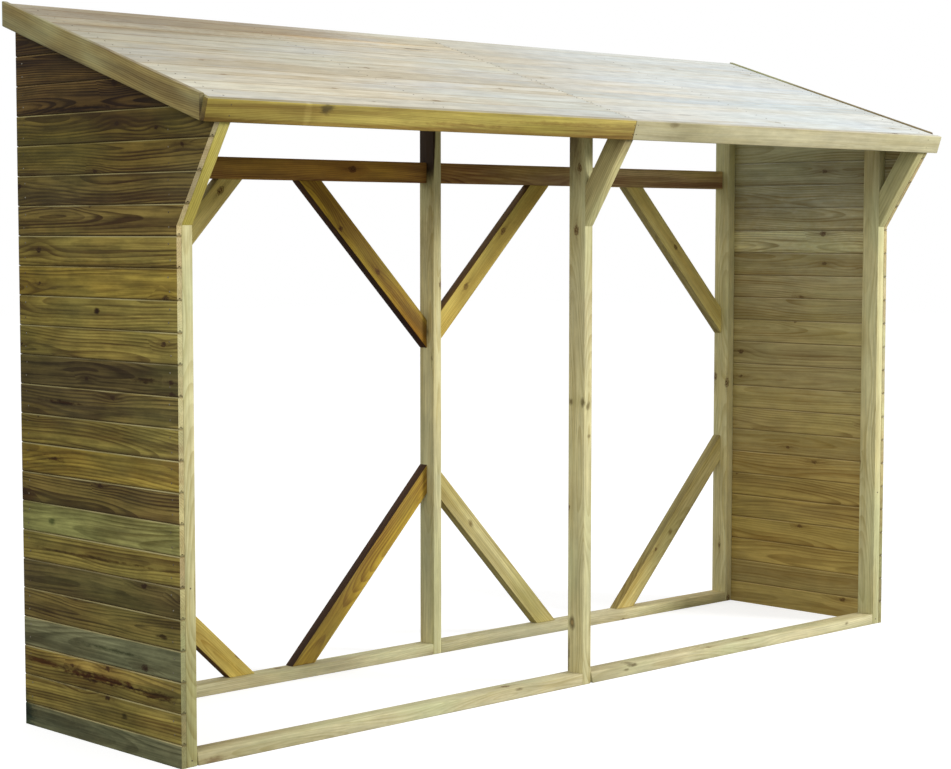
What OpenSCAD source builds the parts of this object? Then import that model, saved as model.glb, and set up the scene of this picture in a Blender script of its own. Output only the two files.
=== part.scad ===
// Open two-bay log store: two boarded side walls, a braced rear frame, an open
// front and a boarded lean-to roof that overhangs the front on three struts.
// X runs along the front, Y towards the back, Z up. The origin is on the ground,
// in the middle of the roof's plan.

/* [Overall size] */
// Length over the outer faces of the two side walls
store_length = 3500; // [2600:10:4200]
// Depth from the front of the front posts to the back of the rear posts
store_depth = 840; // [700:10:1100]
// Height of the top of the roof boards above the front of the front posts
roof_height = 2026; // [1960:2:2200]

/* [Timber] */
// Thickness of the frame timbers
timber_t = 40; // [35:1:50]
// Width of the frame timbers
timber_w = 75; // [65:1:95]
// Thickness of the wall boards
wall_board_t = 18; // [14:1:24]

/* [Rear frame] */
// Height of the underside of the rear rail
rail_height = 1762; // [1600:2:1800]
// How far an upper brace reaches along the rail, at the middle and right posts
upper_brace_run = 612; // [450:2:700]
// How far an upper brace reaches down those posts
upper_brace_drop = 612; // [450:2:700]
// How far a lower brace reaches along the sill, at the middle and right posts
lower_brace_run = 655; // [450:5:700]
// How far a lower brace reaches up those posts
lower_brace_rise = 675; // [450:5:700]
// Reach along the rail of the longer upper brace at the left post
left_upper_run = 812; // [600:2:900]
// How far it reaches down the left post
left_upper_drop = 846; // [600:2:860]
// Reach along the sill of the longer lower brace at the left post
left_lower_run = 850; // [600:5:900]
// How far it reaches up the left post
left_lower_rise = 785; // [600:5:800]

/* [Front struts] */
// Height on the front posts where the struts and the wall flare begin
strut_foot = 1600; // [1450:5:1650]
// Lean of the struts from upright, in degrees
strut_lean = 32.5; // [25:0.5:36]

/* [Roof] */
// Slope of the roof in degrees
roof_pitch = 18; // [14:0.5:21]
// Thickness of the roof boards
roof_board_t = 18; // [14:1:24]
// Height of the front fascia board, square to the roof
fascia_h = 68; // [60:1:85]
// Thickness of the front fascia board
fascia_t = 22; // [18:1:26]
// How far the fascia stands in front of the struts, along the roof
fascia_lap = 12; // [4:1:18]
// Overhang of the roof beyond each side wall
side_overhang = 48; // [40:1:60]
// Height of the barge boards, square to the roof
barge_h = 75; // [66:1:90]
// Thickness of the barge boards
barge_t = 20; // [16:1:24]
// How far the barge boards stand above the roof boards
barge_upstand = 4; // [2:1:8]
// Height of the verge battens behind the barge boards
verge_batten_h = 40; // [30:1:45]

/* [Hidden] */
// Roof frame: rafters and battens fill the space between the roof boards and the
// plane of the fascia's lower edge, on which the posts and struts are cut.
frame_h = fascia_h - roof_board_t;
// Where a strut edge that starts `back` behind the strut's front edge meets the
// cutting plane, as a distance along the roof from the front of the posts.
function strut_rise(back) =
    ((roof_height - strut_foot - back / sin(strut_lean)) * cos(roof_pitch) - fascia_h)
    / cos(strut_lean - roof_pitch);
function strut_top(back) =
    -strut_rise(back) * sin(strut_lean) * cos(roof_pitch)
    + (strut_foot + back / sin(strut_lean) + strut_rise(back) * cos(strut_lean) - roof_height)
    * sin(roof_pitch);

// Distances along the roof, measured from above the front of the posts
fascia_front = strut_top(0) - fascia_lap;
fascia_back = fascia_front + fascia_t;
deck_rear = (store_depth - roof_board_t * sin(roof_pitch)) / cos(roof_pitch);
batten_rear = (store_depth - fascia_h * sin(roof_pitch)) / cos(roof_pitch);

// Places in plan
half_length = store_length / 2;
front_y = -(store_depth + fascia_front * cos(roof_pitch)) / 2;
rear_y = front_y + store_depth;
post_x = [-half_length + wall_board_t, -timber_t / 2, half_length - wall_board_t - timber_t];

timber_color = [0.74, 0.68, 0.42];
wall_color = [0.48, 0.41, 0.25];
roof_color = [0.82, 0.80, 0.72];
trim_color = [0.66, 0.58, 0.28];

// A point of the side view, [Y, Z], from a distance along the roof and a height
// square to it above the roof boards' top.
function roof_point(along, above) = [
    front_y + along * cos(roof_pitch) - above * sin(roof_pitch),
    roof_height + along * sin(roof_pitch) + above * cos(roof_pitch)
];
// The height, at a place y, of a plane that lies `below` the roof boards' top
function roof_z(y, below) =
    roof_height + ((y - front_y) * sin(roof_pitch) - below) / cos(roof_pitch);

// Extrudes a side view, drawn as [Y, Z], along X
module side_view(x, thickness) {
    translate([x, 0, 0]) rotate([90, 0, 90]) linear_extrude(thickness) children();
}

// A member of the roof, as a box whose section is square to the slope
module roof_member(x, length, along, depth, below, height) {
    translate([x, front_y, roof_height]) rotate([roof_pitch, 0, 0])
        translate([0, along, -below - height]) cube([length, depth, height]);
}

// An upright whose top is cut to the roof's slope
module post(x, y) {
    color(timber_color) side_view(x, timber_t) polygon([
        [y, 0], [y + timber_w, 0],
        [y + timber_w, roof_z(y + timber_w, fascia_h)], [y, roof_z(y, fascia_h)]
    ]);
}

module front_post(i) { post(post_x[i], front_y); }
module rear_post(i) { post(post_x[i], rear_y - timber_w); }

// A timber that fills one bay, between post i and the next
module bay_timber(i, y, z, depth, height) {
    x = post_x[i] + timber_t;
    color(timber_color) translate([x, y, z]) cube([post_x[i + 1] - x, depth, height]);
}

module sill(i, y) { bay_timber(i, y, 0, timber_w, timber_t); }
module rear_rail(i) { bay_timber(i, rear_y - timber_t, rail_height, timber_t, timber_w); }

// A diagonal in the rear frame, cut to the post at corner x and to the rail or
// sill at corner z. Its outer edge runs from `run` along to `rise` up or down.
module brace(x, z, run, rise) {
    corner_gap = abs(run * rise) / norm([run, rise]);
    inner = (corner_gap - timber_w) / corner_gap;
    color(timber_color) translate([x, rear_y, z]) rotate([90, 0, 0])
        linear_extrude(timber_t)
            polygon([[run, 0], [0, rise], [0, rise * inner], [run * inner, 0]]);
}

module brace_right_of(i, z, run, rise) { brace(post_x[i] + timber_t, z, run, rise); }
module brace_left_of(i, z, run, rise) { brace(post_x[i], z, -run, rise); }

// A slanting strut in front of a post, cut upright at its foot and to the
// slope at its head
module strut(i) {
    foot = [front_y, strut_foot];
    foot_back = [front_y, strut_foot + timber_w / sin(strut_lean)];
    color(timber_color) side_view(post_x[i], timber_t) polygon([
        foot, foot_back, roof_point(strut_top(timber_w), -fascia_h),
        roof_point(strut_top(0), -fascia_h)
    ]);
}

// Rafters run between the eaves batten and the rear batten
module rafter(x) {
    start = fascia_back + timber_t;
    color(timber_color)
        roof_member(x, timber_t, start, batten_rear - timber_t - start, roof_board_t, frame_h);
}

module bay_rafter(i) { rafter((post_x[i] + post_x[i + 1]) / 2); }

// Battens across the rafters' ends, from wall to wall
module cross_batten(along) {
    color(timber_color)
        roof_member(post_x[0], post_x[2] + timber_t - post_x[0], along, timber_t,
                    roof_board_t, frame_h);
}

// The batten that fills the overhang between a wall and its barge board
module verge_batten(x) {
    color(timber_color)
        roof_member(x, side_overhang - barge_t, fascia_back, batten_rear - fascia_back,
                    roof_board_t, verge_batten_h);
}

// A side wall, flared forward above the strut foot and notched round the fascia
module side_wall(x) {
    color(wall_color) side_view(x, wall_board_t) polygon([
        [front_y, 0], [rear_y, 0], [rear_y, roof_z(rear_y, roof_board_t)],
        roof_point(fascia_back, -roof_board_t), roof_point(fascia_back, -fascia_h),
        roof_point(strut_top(0), -fascia_h), [front_y, strut_foot]
    ]);
}

// The roof boards of one bay, from the middle of the store out to the barge board.
// side is -1 on the left and 1 on the right.
module roof_boards(side) {
    length = half_length + side_overhang - barge_t;
    color(roof_color)
        roof_member(min(0, side * length), length, fascia_back, deck_rear - fascia_back,
                    0, roof_board_t);
}

// The fascia board of one bay, which meets the other above the middle strut
module fascia(side) {
    length = half_length + side_overhang;
    color(trim_color)
        roof_member(min(0, side * length), length, fascia_front, fascia_t, 0, fascia_h);
}

// A barge board, cut upright at both ends, behind the fascia's lower back edge
module barge_board(x) {
    nose_y = roof_point(fascia_back, -fascia_h)[0];
    color(trim_color) side_view(x, barge_t) polygon([
        for (y = [nose_y, rear_y]) [y, roof_z(y, barge_h - barge_upstand)],
        for (y = [rear_y, nose_y]) [y, roof_z(y, -barge_upstand)]
    ]);
}

module left_front_post() { front_post(0); }
module middle_front_post() { front_post(1); }
module right_front_post() { front_post(2); }
module left_rear_post() { rear_post(0); }
module middle_rear_post() { rear_post(1); }
module right_rear_post() { rear_post(2); }

module left_front_sill() { sill(0, front_y); }
module right_front_sill() { sill(1, front_y); }
module left_rear_sill() { sill(0, rear_y - timber_w); }
module right_rear_sill() { sill(1, rear_y - timber_w); }
module left_rear_rail() { rear_rail(0); }
module right_rear_rail() { rear_rail(1); }

module upper_brace_1() { brace_right_of(0, rail_height, left_upper_run, -left_upper_drop); }
module upper_brace_2() { brace_left_of(1, rail_height, upper_brace_run, -upper_brace_drop); }
module upper_brace_3() { brace_right_of(1, rail_height, upper_brace_run, -upper_brace_drop); }
module upper_brace_4() { brace_left_of(2, rail_height, upper_brace_run, -upper_brace_drop); }
module lower_brace_1() { brace_right_of(0, timber_t, left_lower_run, left_lower_rise); }
module lower_brace_2() { brace_left_of(1, timber_t, lower_brace_run, lower_brace_rise); }
module lower_brace_3() { brace_right_of(1, timber_t, lower_brace_run, lower_brace_rise); }
module lower_brace_4() { brace_left_of(2, timber_t, lower_brace_run, lower_brace_rise); }

module left_strut() { strut(0); }
module middle_strut() { strut(1); }
module right_strut() { strut(2); }

module left_rafter() { rafter(post_x[0]); }
module left_bay_rafter() { bay_rafter(0); }
module middle_rafter() { rafter(post_x[1]); }
module right_bay_rafter() { bay_rafter(1); }
module right_rafter() { rafter(post_x[2]); }

module eaves_batten() { cross_batten(fascia_back); }
module rear_batten() { cross_batten(batten_rear - timber_t); }
module left_verge_batten() { verge_batten(barge_t - side_overhang - half_length); }
module right_verge_batten() { verge_batten(half_length); }

module left_wall() { side_wall(-half_length); }
module right_wall() { side_wall(half_length - wall_board_t); }

module left_roof_boards() { roof_boards(-1); }
module right_roof_boards() { roof_boards(1); }
module left_fascia() { fascia(-1); }
module right_fascia() { fascia(1); }
module left_barge_board() { barge_board(-half_length - side_overhang); }
module right_barge_board() { barge_board(half_length + side_overhang - barge_t); }

left_front_post();
middle_front_post();
right_front_post();
left_rear_post();
middle_rear_post();
right_rear_post();
left_front_sill();
right_front_sill();
left_rear_sill();
right_rear_sill();
left_rear_rail();
right_rear_rail();
upper_brace_1();
upper_brace_2();
upper_brace_3();
upper_brace_4();
lower_brace_1();
lower_brace_2();
lower_brace_3();
lower_brace_4();
left_strut();
middle_strut();
right_strut();
left_rafter();
left_bay_rafter();
middle_rafter();
right_bay_rafter();
right_rafter();
eaves_batten();
rear_batten();
left_verge_batten();
right_verge_batten();
left_wall();
right_wall();
left_roof_boards();
right_roof_boards();
left_fascia();
right_fascia();
left_barge_board();
right_barge_board();
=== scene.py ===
# Two-bay log store: boards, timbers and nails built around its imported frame. All sizes in metres.
import math
import random
import bpy
from mathutils import Matrix, Vector


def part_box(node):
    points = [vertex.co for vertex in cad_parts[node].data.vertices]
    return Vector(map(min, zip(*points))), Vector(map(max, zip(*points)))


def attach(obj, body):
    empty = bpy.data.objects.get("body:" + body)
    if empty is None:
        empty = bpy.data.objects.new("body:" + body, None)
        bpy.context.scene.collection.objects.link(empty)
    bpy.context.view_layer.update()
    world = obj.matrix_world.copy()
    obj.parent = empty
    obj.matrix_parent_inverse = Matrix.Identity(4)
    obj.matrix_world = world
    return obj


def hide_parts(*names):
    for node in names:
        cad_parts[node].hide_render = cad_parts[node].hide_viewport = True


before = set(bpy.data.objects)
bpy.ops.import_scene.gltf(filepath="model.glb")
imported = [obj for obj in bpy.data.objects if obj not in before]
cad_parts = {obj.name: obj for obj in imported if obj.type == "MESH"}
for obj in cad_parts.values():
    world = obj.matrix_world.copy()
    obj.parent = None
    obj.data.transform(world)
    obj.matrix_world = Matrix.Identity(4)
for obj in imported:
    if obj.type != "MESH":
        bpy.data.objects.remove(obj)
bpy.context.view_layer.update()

roofPitch = math.radians(18)
roofNormal = Vector((0, -math.sin(roofPitch), math.cos(roofPitch)))
roofClimb = Vector((0, math.cos(roofPitch), math.sin(roofPitch)))


def pickNothing():
    bpy.ops.object.select_all(action="DESELECT")


def pick(piece):
    # makes one object the only selected and the active one
    if bpy.context.object and bpy.context.object.mode != "OBJECT":
        leaveEditing()
    pickNothing()
    piece.hide_set(False)
    piece.select_set(True)
    bpy.context.view_layer.objects.active = piece


def editAll(piece):
    # opens a piece for editing with its whole mesh selected
    pick(piece)
    bpy.ops.object.mode_set(mode="EDIT")
    bpy.ops.mesh.select_all(action="SELECT")


def clearSelection(piece, kind):
    # kind is what is going to be selected: vertices, edges or faces
    pick(piece)
    bpy.ops.object.mode_set(mode="EDIT")
    bpy.ops.mesh.select_mode(type=kind)
    bpy.ops.mesh.select_all(action="DESELECT")
    leaveEditing()


def selectFaces(piece, test):
    # selects the faces that pass a test, and leaves the piece in edit mode
    clearSelection(piece, "FACE")
    for face in piece.data.polygons:
        face.select = test(face)
    bpy.ops.object.mode_set(mode="EDIT")


def selectEdges(piece, test):
    # the test is given an edge's two ends
    clearSelection(piece, "EDGE")
    points = piece.data.vertices
    for edge in piece.data.edges:
        edge.select = test(points[edge.vertices[0]].co, points[edge.vertices[1]].co)
    bpy.ops.object.mode_set(mode="EDIT")


def leaveEditing():
    bpy.ops.object.mode_set(mode="OBJECT")


def useModifier(piece, kind, **settings):
    pick(piece)
    modifier = piece.modifiers.new(kind.title(), kind)
    for key, value in settings.items():
        setattr(modifier, key, value)
    bpy.ops.object.modifier_apply(modifier=modifier.name)


def joined(pieces, name):
    pickNothing()
    for piece in pieces:
        piece.select_set(True)
    bpy.context.view_layer.objects.active = pieces[0]
    bpy.ops.object.join()
    pieces[0].name = name
    pieces[0].data.name = name
    return pieces[0]


def addCopy(piece, name, place=(0, 0, 0)):
    # a copy with its own mesh, moved by place
    copy = bpy.data.objects.new(name, piece.data.copy())
    bpy.context.scene.collection.objects.link(copy)
    copy.data.transform(Matrix.Translation(place))
    return copy


def remove(piece):
    bpy.data.objects.remove(piece)


def copyNode(node, name):
    # a CAD node's shape as a clean mesh of flat faces
    piece = addCopy(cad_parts[node], name)
    piece.data.materials.clear()
    editAll(piece)
    bpy.ops.mesh.remove_doubles(threshold=0.00005)
    bpy.ops.mesh.dissolve_limited(angle_limit=math.radians(1))
    bpy.ops.mesh.normals_make_consistent(inside=False)
    leaveEditing()
    return piece


def grainOf(piece):
    # wood is cut along its length, so its grain follows its longest edge
    points = piece.data.vertices
    ends = [(points[e.vertices[0]].co, points[e.vertices[1]].co) for e in piece.data.edges]
    a, b = max(ends, key=lambda pair: (pair[1] - pair[0]).length)
    direction = (b - a).normalized()
    return direction if max(direction, key=abs) > 0 else -direction


def middleOf(piece):
    corners = [Vector(c) for c in piece.bound_box]
    return sum(corners, Vector()) / len(corners)


def finishPiece(piece, slotName, *replaced):
    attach(piece, "root")
    if replaced:
        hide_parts(*replaced)


def feed(tree, socket, value):
    if isinstance(value, bpy.types.NodeSocket):
        tree.links.new(value, socket)
    elif value is not None:
        socket.default_value = value


def addNode(tree, kind, *values):
    # a shader node with these values in its first sockets
    node = tree.nodes.new("ShaderNode" + kind)
    for socket, value in zip(node.inputs, values):
        feed(tree, socket, value)
    return node


def calc(tree, operation, *values):
    node = addNode(tree, "Math", *values)
    node.operation = operation
    return node.outputs[0]


def plus(tree, first, second):
    return calc(tree, "ADD", first, second)


def minus(tree, first, second):
    return calc(tree, "SUBTRACT", first, second)


def times(tree, first, second):
    return calc(tree, "MULTIPLY", first, second)


def over(tree, first, second):
    return calc(tree, "DIVIDE", first, second)


def vectorCalc(tree, operation, *values):
    node = addNode(tree, "VectorMath", *values)
    node.operation = operation
    return node.outputs["Value" if operation == "LENGTH" else "Vector"]


def combine(tree, x, y, z):
    return addNode(tree, "CombineXYZ", x, y, z).outputs[0]


def separate(tree, vector):
    return addNode(tree, "SeparateXYZ", vector).outputs


def noise(tree, vector, scale=1.0, detail=2.0, roughness=0.5, output="Fac"):
    node = addNode(tree, "TexNoise")
    for name, value in (("Vector", vector), ("Scale", scale), ("Detail", detail), ("Roughness", roughness)):
        feed(tree, node.inputs[name], value)
    return node.outputs[output]


def chance(tree, value):
    # an even random number for each value
    node = addNode(tree, "TexWhiteNoise")
    node.noise_dimensions = "1D"
    feed(tree, node.inputs["W"], value)
    return node.outputs["Value"]


def step(tree, value, low, high, outLow=0.0, outHigh=1.0):
    # a smooth step from low to high
    node = addNode(tree, "MapRange")
    node.interpolation_type = "SMOOTHSTEP"
    for name, number in (("From Min", low), ("From Max", high), ("To Min", outLow), ("To Max", outHigh)):
        feed(tree, node.inputs[name], number)
    feed(tree, node.inputs["Value"], value)
    return node.outputs["Result"]


def mixColour(tree, factor, first, second, mode="MIX"):
    node = addNode(tree, "Mix")
    node.data_type = "RGBA"
    node.blend_type = mode
    feed(tree, node.inputs[0], factor)
    feed(tree, node.inputs[6], first)
    feed(tree, node.inputs[7], second)
    return node.outputs[2]


def shaded(tree, colour, shade):
    # a colour made lighter or darker
    return mixColour(tree, 1.0, colour, combine(tree, shade, shade, shade), "MULTIPLY")


def newGroup(name, inputs, outputs):
    # sockets are named by kind, all of a kind in one string
    group = bpy.data.node_groups.new(name, "ShaderNodeTree")
    for side, sockets in (("INPUT", inputs), ("OUTPUT", outputs)):
        for kind, labels in sockets.items():
            for label in labels.split():
                group.interface.new_socket(label, in_out=side, socket_type="NodeSocket" + kind)
    start = group.nodes.new("NodeGroupInput")
    end = group.nodes.new("NodeGroupOutput")
    return group, start.outputs, end.inputs


def place(tree, group, **values):
    # puts a group into a material
    node = addNode(tree, "Group")
    node.node_tree = group
    for label, value in values.items():
        feed(tree, node.inputs[label], value)
    return node.outputs


def rgb(red, green, blue):
    # a colour as it is read on a screen, 0 to 255, as the shader's linear values
    def linear(c):
        c /= 255
        return c / 12.92 if c <= 0.04045 else ((c + 0.055) / 1.055) ** 2.4
    return (linear(red), linear(green), linear(blue), 1)


knotShape = {"cell": (0.24, 0.085, 1), "rough": 0.016, "tailFall": -400.0, "tail": 0.55,
             "haloReach": 2.4, "rings": 14.0}
grainShape = {"swing": 5.0, "pithSide": 0.10, "pithDepth": 0.012, "pithRange": 0.05, "ripple": 0.012,
              "knotPush": 0.011}
# where a board's top edge and its foot begin and end, from -0.5 to 0.5 across it. The top edge is lightened,
# partly a paler bevel and partly a painted highlight where the bevel catches light from above; the foot is
# darkened, partly dirt and partly painted shade in the joint
boardEdges = {"top": (0.445, 0.475), "foot": (-0.42, -0.485)}


def makeKnots():
    # knots scattered over a face, with a halo where the grain is pushed aside
    t, given, out = newGroup("knots", {"Vector": "Vector", "Float": "Seed Amount Size"},
                             {"Float": "Knot Halo Rings"})
    cell = knotShape["cell"]
    u, v, w = separate(t, given["Vector"])
    face = plus(t, v, w)                            # so that knots show on every side of a timber
    shifted = combine(t, plus(t, u, times(t, given["Seed"], 31.0)),
                      plus(t, face, times(t, given["Seed"], 5.0)), 0.0)
    cells = vectorCalc(t, "DIVIDE", shifted, cell)
    voronoi = addNode(t, "TexVoronoi")
    voronoi.voronoi_dimensions = "2D"
    feed(t, voronoi.inputs["Vector"], cells)
    feed(t, voronoi.inputs["Scale"], 1.0)
    away = vectorCalc(t, "MULTIPLY", vectorCalc(t, "SUBTRACT", voronoi.outputs["Position"], cells), cell)
    along, across, _ = separate(t, away)
    spotRed, spotGreen, _ = separate(t, voronoi.outputs["Color"])
    without = minus(t, 1.0, given["Amount"])
    there = step(t, spotRed, without, plus(t, without, 0.02))
    radius = times(t, given["Size"], plus(t, 0.45, spotGreen))
    ragged = combine(t, times(t, u, 0.45), face, 0.0)
    ripple = times(t, minus(t, noise(t, ragged, 150.0, 3.0), 0.5), knotShape["rough"])
    near = vectorCalc(t, "LENGTH", combine(t, times(t, along, 0.6), across, 0.0))
    near = plus(t, near, ripple)
    far = vectorCalc(t, "LENGTH", combine(t, times(t, along, 0.3), across, 0.0))
    share = over(t, near, radius)
    tailAlong = times(t, times(t, along, along), knotShape["tailFall"])
    tailAcross = over(t, plus(t, across, ripple), times(t, radius, 0.5))
    tail = calc(t, "EXPONENT", minus(t, tailAlong, times(t, tailAcross, tailAcross)))
    core = calc(t, "MAXIMUM", step(t, share, 1.2, 0.55), times(t, tail, knotShape["tail"]))
    feed(t, out["Knot"], times(t, there, core))
    spread = over(t, far, times(t, radius, knotShape["haloReach"]))
    halo = calc(t, "EXPONENT", times(t, times(t, spread, spread), -1.0))
    feed(t, out["Halo"], times(t, there, halo))
    rings = calc(t, "SINE", times(t, share, knotShape["rings"]))
    feed(t, out["Rings"], times(t, there, rings))
    return t


def makeGrain():
    # yearly rings round a pith that wanders beside the board, so they show as arches and lines
    t, given, out = newGroup("grain", {"Vector": "Vector", "Float": "Seed Halo Ring Wander"},
                             {"Float": "Late Streak Fibre"})
    u, v, w = separate(t, given["Vector"])
    seed = given["Seed"]
    run = plus(t, u, times(t, seed, 37.0))
    drift = vectorCalc(t, "SUBTRACT", noise(t, combine(t, run, times(t, seed, 13.0), 0.0), 1.1, 1.0,
                                            output="Color"), (0.5, 0.5, 0.5))
    driftV, driftW, _ = separate(t, drift)
    wander, swing = given["Wander"], grainShape["swing"]
    pithSide = times(t, minus(t, chance(t, plus(t, seed, 3.1)), 0.5), grainShape["pithSide"])
    pithDepth = plus(t, grainShape["pithDepth"],
                     times(t, chance(t, plus(t, seed, 7.7)), grainShape["pithRange"]))
    v1 = plus(t, plus(t, v, times(t, times(t, driftV, wander), swing)), pithSide)
    w1 = plus(t, plus(t, w, times(t, times(t, driftW, wander), swing)), pithDepth)
    here = combine(t, run, v, w)
    stretched = vectorCalc(t, "MULTIPLY", here, (2.2, 11.0, 11.0))
    ripple = times(t, minus(t, noise(t, stretched, 1.0, 2.0), 0.5), grainShape["ripple"])
    radius = plus(t, vectorCalc(t, "LENGTH", combine(t, v1, w1, 0.0)),
                  plus(t, ripple, times(t, given["Halo"], grainShape["knotPush"])))
    rings = over(t, radius, given["Ring"])
    share = calc(t, "FRACT", rings)
    strength = plus(t, 0.35, times(t, 0.65, chance(t, calc(t, "FLOOR", rings))))
    late = times(t, step(t, share, 0.25, 0.9), step(t, share, 1.0, 0.92))
    feed(t, out["Late"], times(t, late, strength))
    long = vectorCalc(t, "MULTIPLY", here, (0.9, 26.0, 26.0))
    feed(t, out["Streak"], noise(t, long, 1.0, 3.0, 0.6))
    fine = vectorCalc(t, "MULTIPLY", here, (4.0, 190.0, 190.0))
    feed(t, out["Fibre"], noise(t, fine, 1.0, 2.0, 0.6))
    return t


def makeBoards():
    # which board a point is on: a random number for each, and how near the joint is
    t, given, out = newGroup("boardNumber", {"Vector": "Vector", "Float": "Cover Seed"},
                             {"Vector": "Vector", "Float": "Chance Top Foot"})
    u, v, w = separate(t, given["Vector"])
    count = over(t, v, given["Cover"])
    number = calc(t, "FLOOR", count)
    inside = minus(t, calc(t, "FRACT", count), 0.5)
    feed(t, out["Chance"], chance(t, plus(t, number, given["Seed"])))
    feed(t, out["Vector"], combine(t, u, times(t, inside, given["Cover"]), w))
    # the painted highlight on each top edge comes and goes along the board
    highlightBreaks = noise(t, combine(t, u, times(t, number, 3.7), given["Seed"]), 3.0, 3.0)
    fade = step(t, highlightBreaks, 0.35, 0.6)
    feed(t, out["Top"], times(t, step(t, inside, *boardEdges["top"]), plus(t, 0.3, fade)))
    feed(t, out["Foot"], step(t, inside, *boardEdges["foot"]))
    return t


def makeMark():
    # one ragged mark at its own place: a long dark knot, a streak, a stain, or a patch of painted light or
    # shade
    t, given, out = newGroup("mark", {"Vector": "Vector Centre Size", "Float": "Ragged Core"},
                             {"Float": "Mask"})
    away = vectorCalc(t, "DIVIDE", vectorCalc(t, "SUBTRACT", given["Vector"], given["Centre"]), given["Size"])
    u, v, w = separate(t, given["Vector"])
    torn = noise(t, combine(t, times(t, u, 0.35), v, w), 90.0, 4.0, 0.65)
    far = plus(t, vectorCalc(t, "LENGTH", away), times(t, minus(t, torn, 0.5), given["Ragged"]))
    feed(t, out["Mask"], step(t, far, 1.05, given["Core"]))
    return t


def makeWeather():
    # broad stains left by the treatment and the rain
    t, given, out = newGroup("weather", {"Vector": "Vector", "Float": "Seed Size"},
                             {"Float": "Green Grey Mottle"})
    u, v, w = separate(t, given["Vector"])
    shift = times(t, given["Seed"], 19.0)
    wide = combine(t, plus(t, times(t, u, 1.6), shift), times(t, v, 5.0), times(t, w, 5.0))
    broad = vectorCalc(t, "DIVIDE", wide, combine(t, given["Size"], given["Size"], given["Size"]))
    feed(t, out["Green"], step(t, noise(t, broad, 0.8, 3.0, 0.55), 0.42, 0.66))
    other = vectorCalc(t, "ADD", broad, (7.3, 2.1, 4.9))
    feed(t, out["Grey"], step(t, noise(t, other, 0.9, 4.0, 0.6), 0.45, 0.7))
    spots = combine(t, plus(t, times(t, u, 9.0), shift), times(t, v, 26.0), times(t, w, 26.0))
    feed(t, out["Mottle"], noise(t, spots, 1.0, 4.0, 0.65))
    return t


knots = makeKnots()
grain = makeGrain()
boardNumber = makeBoards()
weather = makeWeather()
mark = makeMark()
print("wood effects made")


def makeWoodColour():
    # puts the grain, knots and stains together in a wood's own colours
    numbers = "Late Streak Fibre Knot Halo Rings Green Grey Mottle Lines Bands Rough"
    colours = "Pale Dark KnotColour GreenColour GreyColour"
    t, given, out = newGroup("woodColour", {"Float": numbers, "Color": colours},
                             {"Color": "Color", "Float": "Roughness Height"})
    bands = times(t, step(t, given["Streak"], 0.36, 0.68), given["Bands"])
    lines = times(t, given["Late"], given["Lines"])
    deep = calc(t, "MINIMUM", plus(t, lines, bands), 1.0)
    colour = mixColour(t, deep, given["Pale"], given["Dark"])
    colour = mixColour(t, given["Green"], colour, given["GreenColour"])
    colour = mixColour(t, given["Grey"], colour, given["GreyColour"])
    uneven = plus(t, step(t, given["Fibre"], 0.3, 0.75, -0.12, 0.07),
                  step(t, given["Mottle"], 0.3, 0.7, -0.09, 0.09))
    shade = plus(t, 1.0, times(t, uneven, given["Rough"]))
    colour = shaded(t, colour, shade)
    colour = mixColour(t, times(t, given["Halo"], 0.4), colour, given["Dark"])
    ringed = mixColour(t, step(t, given["Rings"], -1.0, 1.0, 0.0, 0.5), given["KnotColour"], given["Dark"])
    feed(t, out["Color"], mixColour(t, given["Knot"], colour, ringed))
    feed(t, out["Roughness"], step(t, given["Streak"], 0.2, 0.8, 0.86, 0.68))
    height = plus(t, times(t, given["Late"], 0.35), times(t, given["Fibre"], 0.5))
    feed(t, out["Height"], plus(t, height, times(t, given["Knot"], 0.4)))
    return t


woodColour = makeWoodColour()


def newMaterial(name, turn=(0, 0, 0), shift=(0, 0, 0)):
    # a material, its node tree and shader, and the place its pattern is read from
    material = bpy.data.materials.new(name)
    material.use_nodes = True
    t = material.node_tree
    here = addNode(t, "Mapping", addNode(t, "TexCoord").outputs["Object"], shift, turn).outputs[0]
    return material, t, t.nodes["Principled BSDF"], here


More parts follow.
